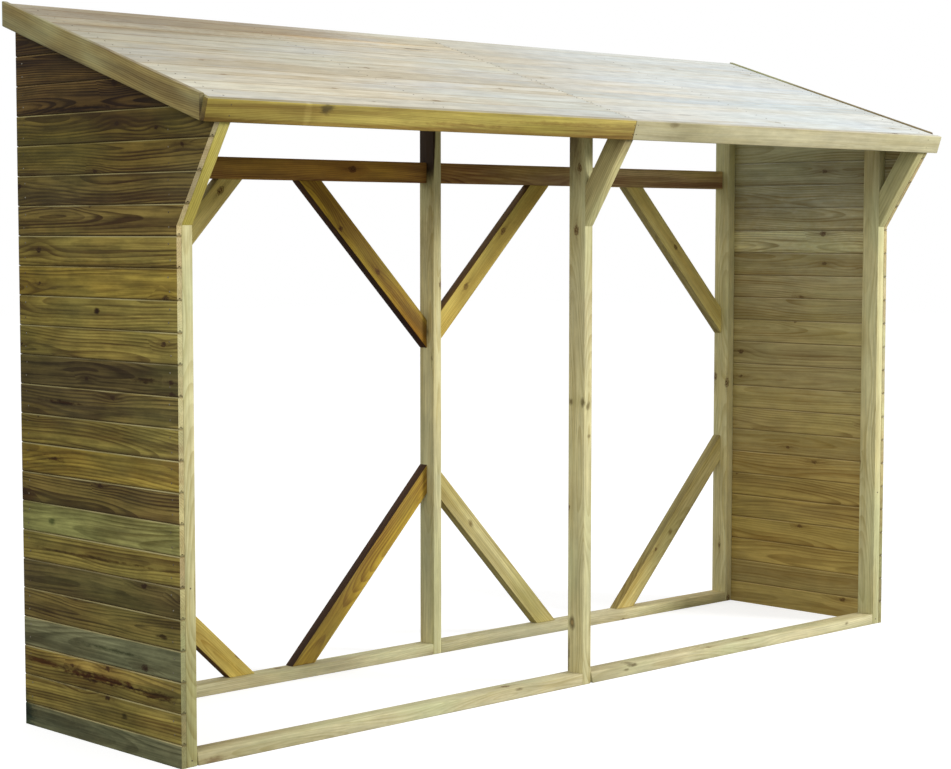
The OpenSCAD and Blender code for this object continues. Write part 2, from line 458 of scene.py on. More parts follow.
def woodShader(name, look, turn, shift, seed, cover=None, marks=()):
    # one wood material. turn lays the grain along the pattern's X, shift centres the piece on it,
    # and cover is the width of the boards where the piece is boarded
    material, t, shader, here = newMaterial(name, turn, shift)
    look = {key: rgb(*value) if isinstance(value, tuple) else value for key, value in look.items()}
    spot, seeds = here, seed
    pale, dark = look["pale"], look["dark"]
    if cover:
        boards = place(t, boardNumber, Vector=spot, Cover=cover, Seed=seed)
        spot, seeds = boards["Vector"], boards["Chance"]
        other = chance(t, plus(t, seeds, 5.5))
        third = chance(t, plus(t, seeds, 9.1))
        pale = mixColour(t, step(t, other, 0.15, 0.95), look["pale"], look["paleOther"])
        dark = mixColour(t, step(t, third, 0.2, 0.95), look["dark"], look["darkOther"])
    knot = place(t, knots, Vector=spot, Seed=seeds, Amount=look["knots"], Size=look["knotSize"])
    lines = place(t, grain, Vector=spot, Seed=seeds, Halo=knot["Halo"], Ring=look["ring"],
                  Wander=look["wander"])
    stain = place(t, weather, Vector=here, Seed=seed, Size=look["stainSize"])
    wood = place(t, woodColour, Late=lines["Late"], Streak=lines["Streak"], Fibre=lines["Fibre"],
                 Knot=knot["Knot"], Halo=knot["Halo"], Rings=knot["Rings"],
                 Green=times(t, stain["Green"], look["greenAmount"]),
                 Grey=times(t, stain["Grey"], look["greyAmount"]), Mottle=stain["Mottle"],
                 Pale=pale, Dark=dark, KnotColour=look["knot"], GreenColour=look["green"],
                 GreyColour=look["grey"], Lines=look["lines"], Bands=look["bands"], Rough=look["rough"])
    colour = wood["Color"]
    if cover:
        vary = look["boardShade"]
        colour = shaded(t, colour, step(t, chance(t, plus(t, seeds, 2.2)), 0.0, 1.0, 1 - vary, 1 + vary))
        # the foot darkened, partly dirt and partly painted shade in the joint; the top edge lightened, partly
        # a paler bevel and partly a painted highlight
        colour = mixColour(t, times(t, boards["Foot"], look["footAmount"]), colour, look["foot"])
        colour = mixColour(t, times(t, boards["Top"], look["edgeAmount"]), colour, look["edge"])
    for centre, size, ragged, core, tint in marks:
        if cover:                               # a mark on boards goes right through them
            centre, size = (*centre, 0), (*size, 1)
        spread = place(t, mark, Vector=here, Centre=centre, Size=size, Ragged=ragged, Core=core)
        colour = mixColour(t, spread["Mask"], colour, (*tint, 1), "MULTIPLY")
    t.links.new(colour, shader.inputs["Base Color"])
    t.links.new(wood["Roughness"], shader.inputs["Roughness"])
    shader.inputs["Specular IOR Level"].default_value = look["shine"]
    bump = addNode(t, "Bump")
    bump.inputs["Strength"].default_value = look["bump"]
    bump.inputs["Distance"].default_value = look["relief"]
    t.links.new(wood["Height"], bump.inputs["Height"])
    t.links.new(bump.outputs[0], shader.inputs["Normal"])
    return material


def timberWood(piece, look, seed, marks=()):
    # a timber's own material, with its cut ends in the same rings but a paler finish
    direction = grainOf(piece)
    turn = direction.rotation_difference(Vector((1, 0, 0))).to_matrix()    # the grain along the pattern's X
    shift = -(turn @ middleOf(piece))
    # a cut end shows first, then the top face, then a side facing -x, which on the braces is painted shade
    faces = {
        "end": lambda f: abs(f.normal.dot(direction)) > 0.8,
        "top": lambda f: f.normal.z > 0.9,
        "side": lambda f: f.normal.x < -0.4,
    }
    kinds = [kind for kind in faces if kind in look]
    for kind in ["", *kinds]:
        ownLook = {**look, **look.get(kind, {})}
        piece.data.materials.append(woodShader(piece.name + kind.title(), ownLook, turn.to_euler(), shift,
                                               seed, marks=marks))
    for face in piece.data.polygons:
        fits = [i + 1 for i, kind in enumerate(kinds) if faces[kind](face)]
        face.material_index = fits[0] if fits else 0


# colours as they are read on a screen, 0 to 255
baseWood = {
    "pale": (226, 218, 166), "dark": (182, 166, 108), "knot": (96, 70, 42),
    "green": (190, 200, 152), "grey": (176, 168, 140), "greenAmount": 0.45, "greyAmount": 0.3,
    "lines": 0.55, "bands": 0.6, "ring": 0.0065, "wander": 0.03, "knots": 0.22, "knotSize": 0.010,
    "stainSize": 1.0, "rough": 1.0, "shine": 0.25, "bump": 0.5, "relief": 0.0012,
    "footAmount": 0.6, "edgeAmount": 0.75,
    "end": {"pale": (214, 206, 158), "dark": (160, 146, 98), "bands": 0.3, "knots": 0.0},
}
# braces: the side facing -x is a darker copy of the wood, painted shade
braceWood = {**baseWood, "knot": (86, 56, 28), "green": (176, 168, 84), "grey": (130, 106, 64),
             "greenAmount": 0.4, "greyAmount": 0.25, "bands": 0.75, "knots": 0.3,
             "side": {"pale": (192, 177, 118), "dark": (142, 124, 74), "green": (156, 150, 92),
                      "grey": (124, 106, 72)}}
# a much darker side for some braces: painted shade
paintedShadeSide = {"pale": (88, 58, 30), "dark": (44, 24, 12), "green": (60, 42, 22), "grey": (36, 22, 14)}
fasciaWood = {**baseWood, "pale": (200, 181, 96), "dark": (132, 105, 44), "knot": (96, 76, 50),
              "green": (168, 160, 66), "grey": (150, 132, 90), "greenAmount": 0.4, "knots": 0.15,
              "bands": 0.85, "lines": 0.3, "ring": 0.004, "wander": 0.01,
              "end": {"pale": (128, 108, 64), "dark": (86, 68, 38)},
              "top": {"pale": (184, 176, 150), "dark": (146, 134, 104), "green": (176, 170, 136)}}
boardWood = {**baseWood, "lines": 0.95, "bands": 0.85, "ring": 0.009, "wander": 0.022, "knots": 0.3,
             "knotSize": 0.009, "boardShade": 0.16}
outsideWood = {**boardWood, "knot": (42, 27, 16), "green": (108, 107, 56), "grey": (92, 84, 54),
               "greenAmount": 0.4, "greyAmount": 0.4, "edge": (160, 150, 106), "foot": (50, 39, 20),
               "boardShade": 0.07, "lines": 0.8, "rough": 2.0, "shine": 0.12}
outsideTones = {
    "olive": {"pale": (150, 133, 66), "dark": (84, 65, 28)},
    "yellow": {"pale": (160, 138, 60), "dark": (102, 81, 30)},
    "green": {"pale": (150, 146, 86), "dark": (98, 92, 48), "green": (134, 140, 84)},
    "greyGreen": {"pale": (126, 124, 90), "dark": (76, 72, 48), "green": (106, 112, 82)},
    "brown": {"pale": (126, 108, 56), "dark": (60, 43, 20), "lines": 0.95},
    "dark": {"pale": (106, 92, 52), "dark": (52, 40, 21), "edge": (128, 118, 86)},
    # the top boards: darker, partly weathering and partly painted shade under the roof's overhang
    "top": {"pale": (96, 75, 40), "dark": (38, 24, 13), "edge": (116, 94, 58), "green": (82, 68, 36),
            "lines": 1.0, "ring": 0.007},
}
woods = {
    **{name: {**outsideWood, **tone, "paleOther": tone["pale"], "darkOther": tone["dark"]}
       for name, tone in outsideTones.items()},
    "post": baseWood,
    # a paler copy of the post wood for the rear posts: painted sunlight where the roof shades them
    "rearPost": {**baseWood, "pale": (238, 230, 178), "dark": (204, 188, 126)},
    "strut": {**baseWood, "pale": (208, 197, 140), "dark": (160, 142, 88)},
    "leftStrut": {**baseWood, "pale": (212, 197, 98), "dark": (160, 140, 58)},
    "sill": {**baseWood, "pale": (222, 212, 170), "dark": (186, 172, 122), "greyAmount": 0.45,
             "greenAmount": 0.5},
    "rail": {**baseWood, "pale": (182, 142, 74), "dark": (118, 76, 36), "knot": (60, 38, 20),
             "green": (186, 156, 60), "grey": (114, 84, 54), "greenAmount": 0.35, "greyAmount": 0.5,
             "bands": 0.9},
    # a paler copy of the brace wood for upper braces 1 and 4: painted sunlight
    "braceBright": {**braceWood, "pale": (248, 232, 152), "dark": (218, 192, 108), "grey": (196, 172, 110)},
    # its side facing -x much darker: painted shade
    "braceGolden": {**braceWood, "pale": (232, 208, 112), "dark": (186, 154, 66),
                    "side": {"pale": (120, 88, 44), "dark": (72, 46, 22), "green": (96, 76, 36),
                             "grey": (70, 50, 28)}},
    "braceBrown": {**braceWood, "pale": (206, 172, 62), "dark": (134, 96, 34), "side": paintedShadeSide},
    "bracePale": {**braceWood, "pale": (230, 217, 156), "dark": (190, 170, 104)},
    "roofFrame": {**baseWood, "pale": (186, 168, 116), "dark": (138, 118, 70)},
    "leftFascia": fasciaWood,
    "rightFascia": {**fasciaWood, "pale": (204, 197, 160), "dark": (166, 153, 108),
                    "green": (188, 183, 136), "grey": (184, 176, 150),
                    "top": {"pale": (204, 200, 184), "dark": (176, 168, 146), "green": (200, 200, 180)}},
    "barge": {**baseWood, "pale": (142, 126, 76), "dark": (90, 72, 38), "grey": (106, 94, 66),
              "greyAmount": 0.5, "bands": 0.8, "end": {"pale": (118, 98, 60), "dark": (78, 60, 36)},
              "top": {"pale": (158, 146, 116), "dark": (116, 100, 72)}},
    "wallInside": {**boardWood, "pale": (202, 184, 120), "paleOther": (182, 168, 118),
                   "dark": (146, 122, 66), "darkOther": (132, 110, 64), "knot": (84, 62, 38),
                   "green": (176, 166, 104), "grey": (160, 150, 112), "greenAmount": 0.4, "greyAmount": 0.3,
                   "boardShade": 0.07, "lines": 0.6, "bands": 0.6, "edge": (206, 190, 140),
                   "foot": (120, 102, 64)},
    "boardEnd": {**baseWood, "pale": (210, 199, 142), "paleOther": (206, 184, 136), "dark": (172, 152, 98),
                 "darkOther": (168, 142, 92), "knots": 0.0, "bands": 0.5, "boardShade": 0.12,
                 "edge": (150, 130, 84), "foot": (60, 46, 28)},
    # the left half of the roof darker and warmer, the right half paler and bluer: painted shade and painted
    # haze light, brighter to the right
    "leftRoof": {**boardWood, "pale": (222, 216, 196), "paleOther": (208, 198, 172),
                 "dark": (190, 176, 146), "darkOther": (200, 194, 176), "knot": (120, 100, 74),
                 "green": (208, 212, 198), "grey": (200, 202, 200), "greenAmount": 0.4, "greyAmount": 0.55,
                 "lines": 0.45, "bands": 0.75, "knots": 0.07, "boardShade": 0.06, "edge": (228, 222, 202),
                 "foot": (150, 132, 100)},
    "rightRoof": {**boardWood, "pale": (224, 222, 212), "paleOther": (210, 216, 214),
                  "dark": (200, 192, 172), "darkOther": (196, 202, 202), "knot": (140, 130, 112),
                  "green": (212, 218, 212), "grey": (204, 210, 212), "greenAmount": 0.4, "greyAmount": 0.5,
                  "lines": 0.4, "bands": 0.7, "knots": 0.07, "boardShade": 0.04, "edge": (232, 230, 222),
                  "foot": (176, 172, 160)},
}


board = {"thick": 0.0174, "tongue": 0.006, "reach": 0.006, "groove": 0.0075, "taper": 0.7,
         "vee": 0.0022, "gap": 0.0007, "spare": 0.02, "near": 0.0001}


def makeBoard(length, cover):
    # one board along Y: thickness along X, cover along Z, a tongue on top and a groove below
    thick, half, height = board["thick"], board["tongue"] / 2, cover - board["gap"]
    groove, near = board["groove"], board["near"]
    pickNothing()
    bpy.ops.mesh.primitive_cube_add(size=1, location=(0, length / 2, height / 2),
                                    scale=(thick, length, height))
    piece = bpy.context.object
    bpy.ops.object.transform_apply(location=True, rotation=True, scale=True)
    bpy.ops.object.mode_set(mode="EDIT")
    for x in (-half, half):
        bpy.ops.mesh.select_all(action="SELECT")
        bpy.ops.mesh.bisect(plane_co=(x, 0, 0), plane_no=(1, 0, 0))
    bpy.ops.mesh.select_all(action="SELECT")
    bpy.ops.mesh.bisect(plane_co=(0, 0, groove), plane_no=(0, 0, 1))
    selectFaces(piece, lambda f: f.normal.z > 0.9 and abs(f.center.x) < half)
    bpy.ops.mesh.extrude_region_move(TRANSFORM_OT_translate={"value": (0, 0, board["reach"])})
    bpy.ops.transform.resize(value=(board["taper"], 1, 1), center_override=(0, 0, height))
    leaveEditing()
    selectFaces(piece, lambda f: abs(f.center.x) < half and f.center.z < groove)
    bpy.ops.mesh.delete(type="FACE")
    leaveEditing()
    selectEdges(piece, lambda a, b: max(a.z, b.z) < groove + near and abs(a.x) < half + near
                and abs(b.x) < half + near and abs(a.y - b.y) < near)
    bpy.ops.mesh.bridge_edge_loops()
    leaveEditing()
    selectEdges(piece, lambda a, b: abs(a.x) > thick * 0.49 and abs(b.x) > thick * 0.49
                and abs(a.y - b.y) > length * 0.9 and (a.z < near or a.z > height - near))
    bpy.ops.mesh.bevel(offset=board["vee"], segments=1)
    leaveEditing()
    editAll(piece)
    bpy.ops.mesh.normals_make_consistent(inside=False)
    leaveEditing()
    return piece


def cutToNode(piece, node):
    # keeps what lies inside a CAD node
    outline = copyNode(node, node + "Outline")
    useModifier(piece, "BOOLEAN", operation="INTERSECT", solver="EXACT", object=outline)
    remove(outline)


def loosen(piece, name, slack, rng, dress):
    # boards never lie quite level: each moves a little inside its place, and is given its own wood
    editAll(piece)
    bpy.ops.mesh.separate(type="LOOSE")
    leaveEditing()
    parts = list(bpy.context.selected_objects)
    parts.sort(key=lambda p: tuple(round(c, 3) for c in middleOf(p)))
    for part in parts:
        dress(part)
        part.data.transform(Matrix.Translation([rng.uniform(-s, s) for s in slack]))
    return joined(parts, name)


def dressBoard(part, outside, inside, end, outward, along):
    # one wood for the weather side, one for the other side and one for the cut ends
    part.data.materials.clear()
    for material in (outside, inside, end):
        part.data.materials.append(material)
    for face in part.data.polygons:
        if abs(face.normal.dot(along)) > 0.8:
            face.material_index = 2
        else:
            face.material_index = 0 if face.normal.dot(outward) > 0 else 1


wallBoards = {"cover": 0.0937, "slack": (0.0003, 0.0, 0.0), "leftStart": -0.0232, "rightStart": -0.006}
# the tone of each board, from the ground up; the four top boards are darker, partly weathering and partly
# painted shade under the roof's overhang
wallTones = ["greyGreen", "olive", "olive", "greyGreen", "brown", "dark", "olive", "green", "brown",
             "yellow", "olive", "brown", "dark", "olive", "olive", "yellow", "olive", *["brown"] * 4,
             *["top"] * 4]
# each mark: its middle and half sizes (along, up), how ragged it is, where its even core ends, and what
# it does to the wood's red, green and blue
weatherAndShadeMarks = [
    ((0.60, 1.30), (0.50, 0.80), 0.3, 0.0, (0.70, 0.69, 0.62)),   # weathered darker at the rear
    ((-0.36, 0.98), (0.42, 0.72), 0.3, 0.0, (1.34, 1.36, 1.42)),   # and paler at the front
    ((-0.28, 0.10), (0.28, 0.12), 0.4, 0.1, (1.35, 1.35, 1.40)),
    # darker along the top of the wall, partly weathering and partly painted shade under the roof's overhang
    ((0.10, 1.88), (0.90, 0.16), 0.3, 0.3, (0.80, 0.76, 0.60)),
]
flameMarks = [
    ((0.05, 0.262), (0.50, 0.024), 0.5, 0.4, (1.6, 1.45, 1.5)),   # a tan edge above the flame
    ((0.10, 0.232), (0.26, 0.017), 2.2, 0.3, (0.25, 0.12, 0.10)),   # the flame
    ((0.43, 0.240), (0.14, 0.012), 1.2, 0.3, (0.45, 0.24, 0.14)),
    ((-0.18, 0.225), (0.14, 0.017), 2.4, 0.2, (0.24, 0.15, 0.13)),
    ((0.53, 0.06), (0.07, 0.09), 1.4, 0.2, (0.20, 0.30, 0.32)),   # damp at the lower rear corner
    ((0.34, 0.05), (0.42, 0.050), 1.2, 0.0, (0.74, 0.78, 0.84)),
    ((-0.02, 0.135), (0.022, 0.016), 1.6, 0.2, (0.35, 0.34, 0.30)),
]
longKnots = [
    ((-0.22, 0.408), (0.035, 0.009), 2.0, 0.2, (0.25, 0.20, 0.18)),
    ((0.06, 0.330), (0.20, 0.008), 2.4, 0.1, (0.40, 0.42, 0.36)),
    ((0.12, 0.605), (0.40, 0.006), 2.4, 0.1, (0.42, 0.34, 0.28)),
    ((0.36, 0.697), (0.025, 0.014), 1.6, 0.2, (0.35, 0.40, 0.34)),
    ((0.34, 0.895), (0.06, 0.014), 2.6, 0.1, (0.25, 0.16, 0.12)),
    ((0.30, 1.075), (0.14, 0.008), 2.2, 0.2, (0.26, 0.15, 0.11)),
    ((-0.14, 1.165), (0.08, 0.011), 2.4, 0.1, (0.28, 0.20, 0.16)),
    ((0.10, 1.365), (0.018, 0.012), 1.2, 0.3, (0.12, 0.07, 0.08)),
    ((0.05, 1.505), (0.60, 0.018), 1.0, 0.2, (0.62, 0.56, 0.50)),
    ((0.20, 1.98), (0.30, 0.010), 2.4, 0.1, (0.40, 0.32, 0.28)),
]
endMarks = [((0, 0.15), (3, 0.65), 0.2, 0.2, (0.60, 0.62, 0.54))]
# on the inside face: paler and bluish high up, a painted haze light; warmer and darker low down; and one
# paler board
innerWallMarks = [
    ((0.1, 2.15), (0.9, 0.80), 0.4, 0.2, (1.28, 1.58, 2.6)),
    ((0.1, 1.42), (0.9, 0.34), 0.3, 0.2, (1.18, 1.22, 1.35)),
    ((0.1, 0.30), (0.9, 0.80), 0.4, 0.2, (0.95, 0.85, 0.60)),
    ((0.1, 1.546), (0.7, 0.046), 0.1, 0.9, (1.25, 1.32, 1.4)),
]


def makeWall(side, seed, outward, outerMarks):
    node, name = side + "_wall", side + "WallBoards"
    low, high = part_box(node)
    rng = random.Random(seed)
    length = high.y - low.y + 2 * board["spare"]
    cover, start = wallBoards["cover"], wallBoards[side + "Start"]
    master = makeBoard(length, cover)
    rows = [addCopy(master, f"{name}{i}", ((low.x + high.x) / 2, low.y - board["spare"], start + i * cover))
            for i in range(math.ceil((high.z - start) / cover))]
    remove(master)
    piece = joined(rows, name)
    cutToNode(piece, node)
    # the pattern's X runs along the boards, its Y up the wall and its Z through it
    turn = Matrix(((0, 1, 0), (0, 0, 1), (1, 0, 0))).to_euler()
    shift = (0, -start, -(low.x + high.x) / 2)

    def wood(label, look, marks):
        return woodShader(name + label, woods[look], turn, shift, seed, cover, marks)

    outside = {tone: wood(tone.title(), tone, outerMarks) for tone in sorted(set(wallTones))}
    inside = wood("Inside", "wallInside", innerWallMarks)
    end = wood("End", "boardEnd", endMarks)

    def dress(part):
        number = round((min(v.co.z for v in part.data.vertices) - start) / cover)
        dressBoard(part, outside[wallTones[number]], inside, end, Vector((outward, 0, 0)), Vector((0, 1, 0)))

    piece = loosen(piece, name, wallBoards["slack"], rng, dress)
    finishPiece(piece, "wall_boards", node)


makeWall("left", 3, -1, weatherAndShadeMarks + flameMarks + longKnots)
makeWall("right", 8, 1, weatherAndShadeMarks + longKnots)
print("side walls boarded")


roofBoards = {"cover": 0.0937, "thick": 0.018, "slack": (0.0006, 0.0, 0.0), "seam": 0.0009}


def makeRoof(node, name, seed, look, marks):
    low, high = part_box(node)
    rng = random.Random(seed)
    thick, cover, seam = roofBoards["thick"], roofBoards["cover"], roofBoards["seam"]
    run = (high.y - low.y - thick * math.sin(roofPitch)) / math.cos(roofPitch)
    eaves = Vector((low.x, low.y, low.z + thick * math.cos(roofPitch)))   # top of the front edge
    lay = Matrix((roofNormal, (1, 0, 0), roofClimb)).transposed().to_4x4()
    master = makeBoard(high.x - low.x - seam, cover)
    # both halves are short by the seam, which the right one leaves at its own left end
    inset = seam if low.x > -0.001 else 0
    start = eaves - roofNormal * thick / 2 + Vector((inset, 0, 0))
    rows = []
    for i in range(math.ceil(run / cover)):
        row = addCopy(master, f"{name}{i}")
        row.data.transform(Matrix.Translation(start + roofClimb * cover * i) @ lay)
        rows.append(row)
    remove(master)
    piece = joined(rows, name)
    cutToNode(piece, node)
    # the pattern's X runs along the boards, its Y up the slope and its Z through them
    toPattern = Matrix(((1, 0, 0), roofClimb, roofNormal))
    shift = -(toPattern @ eaves)
    shift.x = 0
    turn = toPattern.to_euler()
    outside = woodShader(name, woods[look], turn, shift, seed, cover, marks)
    under = woodShader(name + "Under", woods["wallInside"], turn, shift, seed, cover)
    end = woodShader(name + "End", woods["boardEnd"], turn, shift, seed, cover)

    def dress(part):
        dressBoard(part, outside, under, end, roofNormal, Vector((1, 0, 0)))

    piece = loosen(piece, name, roofBoards["slack"], rng, dress)
    finishPiece(piece, "roof_boards", node)


leftRoofMarks = [
    ((-0.24, 0.87), (0.10, 0.009), 1.6, 0.2, (0.30, 0.28, 0.27)),   # long dark knots
    ((-1.30, 0.62), (0.07, 0.008), 1.8, 0.2, (0.60, 0.52, 0.44)),
    ((-0.75, 0.40), (0.06, 0.007), 1.8, 0.2, (0.62, 0.56, 0.50)),
    ((-1.05, 1.02), (0.85, 0.190), 0.7, 0.4, (0.72, 0.64, 0.55)),   # brown rear boards
    ((-1.40, 0.84), (0.60, 0.045), 0.9, 0.3, (0.78, 0.72, 0.62)),
    ((-0.50, 0.93), (0.50, 0.030), 0.9, 0.3, (1.15, 1.05, 0.90)),
    # painted shade: the light grows brighter to the right
    ((-1.90, 0.95), (1.70, 1.00), 0.2, 0.0, (0.64, 0.60, 0.52)),   # darker towards the rear left
    ((-0.10, 0.10), (1.10, 0.60), 0.3, 0.0, (0.94, 1.0, 1.12)),   # bluish by the eaves
]
rightRoofMarks = [
    ((0.20, 0.13), (0.06, 0.008), 1.6, 0.2, (0.50, 0.50, 0.52)),
    ((0.38, 0.10), (0.05, 0.006), 1.6, 0.2, (0.60, 0.60, 0.62)),
    ((0.00, 1.00), (0.90, 0.60), 0.3, 0.0, (0.92, 0.86, 0.76)),
    ((0.00, 0.45), (0.60, 0.80), 0.3, 0.0, (0.95, 0.92, 0.86)),
    ((0.60, 0.40), (0.50, 0.035), 1.0, 0.3, (1.06, 1.0, 0.92)),
    # paler and bluer at the right end: painted haze light
    ((1.30, 0.30), (1.20, 0.80), 0.3, 0.0, (1.0, 1.06, 1.14)),
]
makeRoof("left_roof_boards", "leftRoofBoards", 5, "leftRoof", leftRoofMarks)
makeRoof("right_roof_boards", "rightRoofBoards", 6, "rightRoof", rightRoofMarks)
print("roof boarded")


timbers = {"edge": 0.003, "edgeSteps": 2, "sharp": math.radians(25), "smooth": math.radians(40),
           "firstSeed": 0.13, "seedStep": 0.61}


def each(sides, kind):
    return [f"{side}_{kind}" for side in sides.split()]


timberSets = {
    "post_timber": [
        ("post", each("left middle right", "front_post")),
        ("rearPost", each("left middle right", "rear_post")),
        ("leftStrut", ["left_strut"]),
        ("strut", each("middle right", "strut"))],
    "frame_timber": [
        ("sill", each("left right", "front_sill") + each("left right", "rear_sill")),
        ("rail", each("left right", "rear_rail")),
        ("roofFrame", each("left left_bay middle right_bay right", "rafter")
         + each("eaves rear left_verge right_verge", "batten"))],
    "brace_timber": [
        # upper braces 1 and 4 take the paler wood of painted sunlight
        ("braceBright", ["upper_brace_1"]), ("braceBrown", ["upper_brace_2"]),
        ("braceGolden", ["upper_brace_3"]), ("braceBright", ["upper_brace_4"]),
        ("braceGolden", ["lower_brace_1"]), ("braceBrown", ["lower_brace_2"]),
        ("bracePale", ["lower_brace_3", "lower_brace_4"])],
    "trim_boards": [
        ("leftFascia", ["left_fascia"]), ("rightFascia", ["right_fascia"]),
        ("barge", each("left right", "barge_board"))],
}
# marks as on the walls, but in all three directions, from the middle of each timber's box along its grain
timberMarks = {
    "left_fascia": [
        ((0, 0, -0.031), (2.5, 0.1, 0.011), 0.5, 0.3, (0.74, 0.63, 0.56)),
        ((-0.46, 0, 0.016), (0.034, 0.1, 0.022), 1.6, 0.2, (0.40, 0.40, 0.48)),
        ((-0.53, 0, 0.0), (0.018, 0.1, 0.060), 1.0, 0.3, (1.25, 1.3, 1.5)),
        ((-0.95, 0, 0.0), (0.60, 0.2, 0.2), 0.3, 0.1, (0.70, 0.68, 0.52)),
        ((0.10, 0, -0.012), (0.30, 0.1, 0.008), 2.0, 0.1, (0.66, 0.58, 0.55)),
        ((0.55, 0, 0.006), (0.32, 0.1, 0.010), 2.0, 0.1, (0.72, 0.64, 0.60)),
    ],
    "right_fascia": [
        ((-0.70, 0, 0.020), (0.030, 0.1, 0.012), 1.6, 0.2, (0.62, 0.58, 0.52)),
        ((-0.62, 0, 0.0), (0.20, 0.1, 0.1), 0.3, 0.0, (0.80, 0.78, 0.72)),
    ],
    "middle_front_post": [
        ((-0.775, 0.015, 0.02), (0.030, 0.019, 0.02), 0.8, 0.3, (0.30, 0.26, 0.22)),
        ((-0.775, 0.015, 0.02), (0.012, 0.008, 0.02), 0.8, 0.2, (2.2, 2.0, 1.8)),
        ((-0.89, 0.034, 0.02), (0.085, 0.011, 0.02), 1.4, 0.2, (0.36, 0.33, 0.30)),
        ((0.0, 0, 0), (0.055, 0.06, 0.04), 1.0, 0.1, (0.80, 0.79, 0.70)),
        ((0.004, -0.030, 0.02), (0.023, 0.014, 0.012), 1.2, 0.3, (0.36, 0.33, 0.26)),
        ((0.002, 0.026, 0.02), (0.016, 0.013, 0.012), 1.2, 0.3, (0.42, 0.38, 0.32)),
        ((-0.010, -0.038, 0.0), (0.020, 0.014, 0.014), 1.2, 0.3, (0.44, 0.41, 0.34)),
        ((-0.116, -0.038, -0.006), (0.010, 0.012, 0.010), 1.2, 0.2, (0.50, 0.46, 0.40)),
        ((0.95, 0.02, 0.02), (0.24, 0.06, 0.02), 0.9, 0.1, (0.42, 0.36, 0.33)),
    ],
    "left_front_post": [((-0.85, 0, 0), (0.55, 0.2, 0.2), 0.2, 0.1, (0.66, 0.69, 0.58))],
    "middle_strut": [((0.18, 0, 0), (0.12, 0.1, 0.1), 0.8, 0.1, (0.60, 0.54, 0.52))],
    "right_front_sill": [
        ((-0.62, -0.03, 0.016), (0.034, 0.05, 0.010), 1.8, 0.2, (0.34, 0.30, 0.26)),
        ((-0.65, -0.03, 0.004), (0.020, 0.05, 0.006), 1.6, 0.2, (0.45, 0.42, 0.36)),
        ((0.11, -0.03, -0.022), (0.050, 0.05, 0.008), 1.8, 0.2, (0.40, 0.34, 0.30)),
        ((0.66, -0.03, 0.006), (0.014, 0.05, 0.008), 1.4, 0.2, (0.45, 0.42, 0.38)),
        ((-0.75, 0, 0), (0.25, 0.2, 0.2), 0.4, 0.0, (0.96, 0.89, 0.88)),
        # black at the left end: painted shade in the gap by the post
        ((-0.868, 0, 0), (0.020, 0.2, 0.2), 0.2, 0.7, (0.14, 0.12, 0.10)),
    ],
    "left_front_sill": [
        ((-0.80, 0, 0), (0.80, 0.2, 0.2), 0.3, 0.0, (0.76, 0.74, 0.68)),
        ((-0.78, -0.03, -0.012), (0.060, 0.05, 0.012), 1.8, 0.2, (0.55, 0.46, 0.42)),
        ((0.52, -0.03, 0.012), (0.030, 0.05, 0.007), 1.6, 0.2, (0.50, 0.46, 0.40)),
    ],
    # paler towards the right end: painted light against the right wall's shadow
    "right_rear_sill": [((0.65, 0, 0), (0.60, 0.2, 0.2), 0.3, 0.0, (1.22, 1.16, 1.02))],
    "lower_brace_3": [
        ((0.168, 0, 0.037), (0.024, 0.05, 0.015), 1.2, 0.3, (0.40, 0.33, 0.24)),
        ((0.36, 0, 0), (0.26, 0.1, 0.1), 0.4, 0.1, (0.80, 0.76, 0.58)),
        ((-0.36, 0, 0), (0.24, 0.1, 0.1), 0.4, 0.1, (0.82, 0.80, 0.72)),
        ((0, 0, 0), (0.60, 0.1, 0.1), 0.2, 0.6, (0.93, 0.95, 0.97)),
    ],
    "lower_brace_4": [
        ((-0.034, 0, -0.037), (0.022, 0.05, 0.015), 1.2, 0.3, (0.42, 0.34, 0.24)),
        ((-0.34, 0, 0), (0.24, 0.1, 0.1), 0.4, 0.1, (0.94, 0.86, 0.66)),
        # paler upper half: painted light against the roof's shadow
        ((0.30, 0, 0), (0.30, 0.1, 0.1), 0.4, 0.1, (1.14, 1.16, 1.18)),
    ],
    # darker and redder towards its upper end: partly the brace's own tone, partly painted shade of the roof
    "upper_brace_2": [((0.35, 0, 0), (0.30, 0.1, 0.1), 0.6, 0.1, (0.62, 0.45, 0.36))],
    "left_rear_rail": [
        # a golden spot at the left end and a paler golden middle: painted sunlight
        ((-0.78, 0, 0), (0.14, 0.1, 0.1), 0.6, 0.5, (1.5, 1.5, 1.1)),
        ((0.45, 0, 0), (0.70, 0.1, 0.1), 0.4, 0.0, (1.55, 1.50, 1.0)),
    ],
    # much paler and bluer: painted haze light
    "right_rear_rail": [((0.30, 0, 0), (1.20, 0.2, 0.2), 0.3, 0.0, (1.7, 2.3, 5.0))],
    "middle_rear_post": [
        # near black high on its side facing -x, fading below the rail: painted shadow under the roof
        ((0.95, 0, 0.035), (0.36, 0.2, 0.030), 0.1, 0.85, (0.06, 0.035, 0.03)),
        ((0.45, 0, 0.034), (0.26, 0.2, 0.020), 0.6, 0.1, (0.50, 0.42, 0.30)),
        ((0.10, 0, 0.030), (0.030, 0.02, 0.020), 1.4, 0.2, (0.30, 0.28, 0.26)),
    ],
}


def plainName(node):
    first, *rest = node.split("_")
    return first + "".join(word.title() for word in rest)


# how far the foot of a sill's left end stands off the post, and how much is sawn off all of it
wedges = {"left_front_sill": 0.004, "right_front_sill": 0.012}
wedgeInset = 0.0005


def cutWedge(piece, corner, depth):
    # an end sawn out of square: it meets the post at the top and stands off at the foot
    editAll(piece)
    direction = Vector((corner.z, 0, depth)).normalized()
    bpy.ops.mesh.bisect(plane_co=corner, plane_no=direction, clear_inner=True, use_fill=True)
    leaveEditing()


